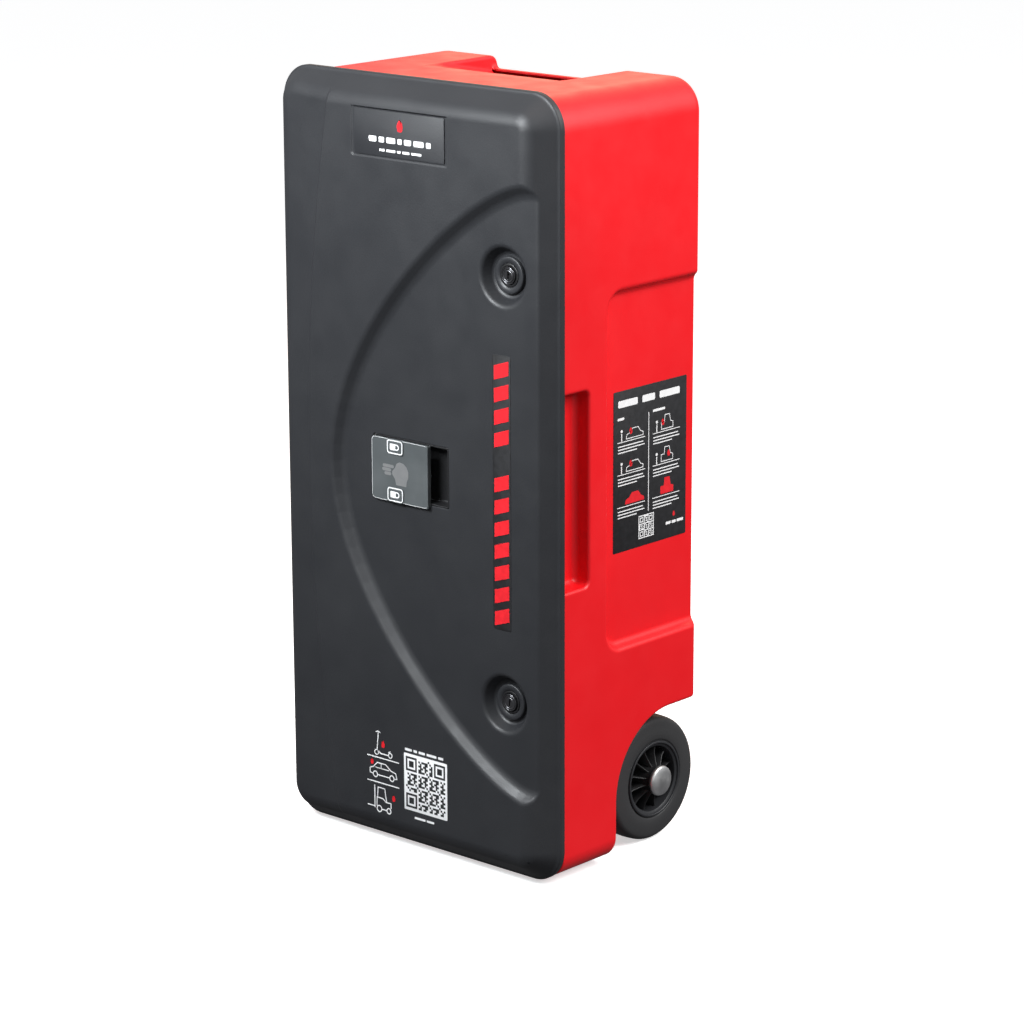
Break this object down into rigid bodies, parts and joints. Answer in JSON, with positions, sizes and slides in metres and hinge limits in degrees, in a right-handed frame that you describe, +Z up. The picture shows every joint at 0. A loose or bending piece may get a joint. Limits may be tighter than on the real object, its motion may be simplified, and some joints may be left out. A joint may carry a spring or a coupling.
{
  "type": "wheeled fire blanket case",
  "caption": "Upright wheeled plastic case for a folded fire blanket, with a side-hung door, quarter-turn locks, a clear pull, side grips and rear wheels.",
  "frame": {"origin": "middle of the bounding box on the ground, under the feet", "axes": "+Z up along the case's height, +X to the right seen from the door, +Y to the back, towards the wheels"},
  "size_m": [0.4785, 0.3352, 1.004],
  "materials": {
    "red_plastic": "satin moulded skin",
    "charcoal_plastic": "fine leather-grain satin",
    "black_plastic": "satin moulded",
    "blanket_cloth": "coated glass-fibre weave",
    "black_webbing": "woven webbing",
    "red_webbing": "woven webbing",
    "zinc_steel": "zinc plated",
    "lock_metal": "black nickel",
    "bright_cap": "satin bright",
    "rubber": "matt",
    "tyre_rubber": "matt solid rubber",
    "clear_plastic": "smoky clear",
    "black_print": "printed film",
    "red_print": "printed film",
    "white_print": "printed film"
  },
  "bodies": {
    "case": {"body_shell": "red_plastic", "blanket_shelf": "black_plastic", "blanket_pack": "blanket_cloth", "axle": "zinc_steel", "foot_front_left": "rubber", "foot_front_right": "rubber", "foot_rear_left": "rubber", "foot_rear_right": "rubber", "strap_upper": "black_webbing", "strap_lower": "black_webbing", "strap_buckle_upper": "black_plastic", "strap_buckle_lower": "black_plastic", "strap_anchors": "zinc_steel", "pull_loop_left": "red_webbing", "pull_loop_right": "red_webbing", "instruction_label": "black_print", "strike_upper": "zinc_steel", "strike_lower": "zinc_steel", "hinge_body_leaf_upper": "zinc_steel", "hinge_body_leaf_lower": "zinc_steel", "hinge_pin_upper": "zinc_steel", "hinge_pin_lower": "zinc_steel", "hinge_body_screws_upper": "zinc_steel", "hinge_body_screws_lower": "zinc_steel", "wheel_spacer_left": "black_plastic", "wheel_spacer_right": "black_plastic", "axle_cap_left": "bright_cap", "axle_cap_right": "bright_cap"},
    "door": {"door_shell": "charcoal_plastic", "door_seal": "rubber", "hinge_door_leaf_upper": "zinc_steel", "hinge_door_leaf_lower": "zinc_steel", "hinge_door_screws_upper": "zinc_steel", "hinge_door_screws_lower": "zinc_steel", "lock_housing_upper": "black_plastic", "lock_housing_lower": "black_plastic", "lock_nut_upper": "zinc_steel", "lock_nut_lower": "zinc_steel", "latch_pocket": "black_plastic", "paddle_pin": "zinc_steel", "paddle_spring": "zinc_steel", "name_plate": "black_print", "name_plate_emblem": "red_print", "marking_strip": "black_print", "marking_stripes": "red_print", "code_panel": "white_print", "icon_panel": "white_print"},
    "lock_upper": {"lock_core_upper": "lock_metal", "lock_cam_upper": "zinc_steel", "lock_screw_upper": "zinc_steel"},
    "lock_lower": {"lock_core_lower": "lock_metal", "lock_cam_lower": "zinc_steel", "lock_screw_lower": "zinc_steel"},
    "paddle": {"pull_paddle": "clear_plastic", "seal_tab_upper": "clear_plastic", "seal_tab_lower": "clear_plastic"},
    "wheel_left": {"tyre_left": "tyre_rubber", "wheel_hub_left": "black_plastic"},
    "wheel_right": {"tyre_right": "tyre_rubber", "wheel_hub_right": "black_plastic"}
  },
  "joints": [
    {"name": "door_hinge", "type": "hinge", "parent": "case", "child": "door", "pos_m": [-0.23325, -0.11735, 0.504], "axis": [0, 0, -1], "range_deg": [0, 180]},
    {"name": "lock_upper_turn", "type": "hinge", "parent": "door", "child": "lock_upper", "pos_m": [0.16375, -0.14535, 0.778], "axis": [0, 1, 0], "range_deg": [0, 90]},
    {"name": "lock_lower_turn", "type": "hinge", "parent": "door", "child": "lock_lower", "pos_m": [0.16375, -0.14535, 0.234], "axis": [0, 1, 0], "range_deg": [0, 90]},
    {"name": "paddle_pull", "type": "hinge", "parent": "door", "child": "paddle", "pos_m": [-0.05325, -0.15695, 0.5], "axis": [0, 0, -1], "range_deg": [0, 35], "stiffness_Nm_per_rad": 0.04},
    {"name": "wheel_left_spin", "type": "hinge", "parent": "case", "child": "wheel_left", "pos_m": [-0.17825, 0.08465, 0.084], "axis": [1, 0, 0], "continuous": true},
    {"name": "wheel_right_spin", "type": "hinge", "parent": "case", "child": "wheel_right", "pos_m": [0.18775, 0.08465, 0.084], "axis": [1, 0, 0], "continuous": true}
  ]
}
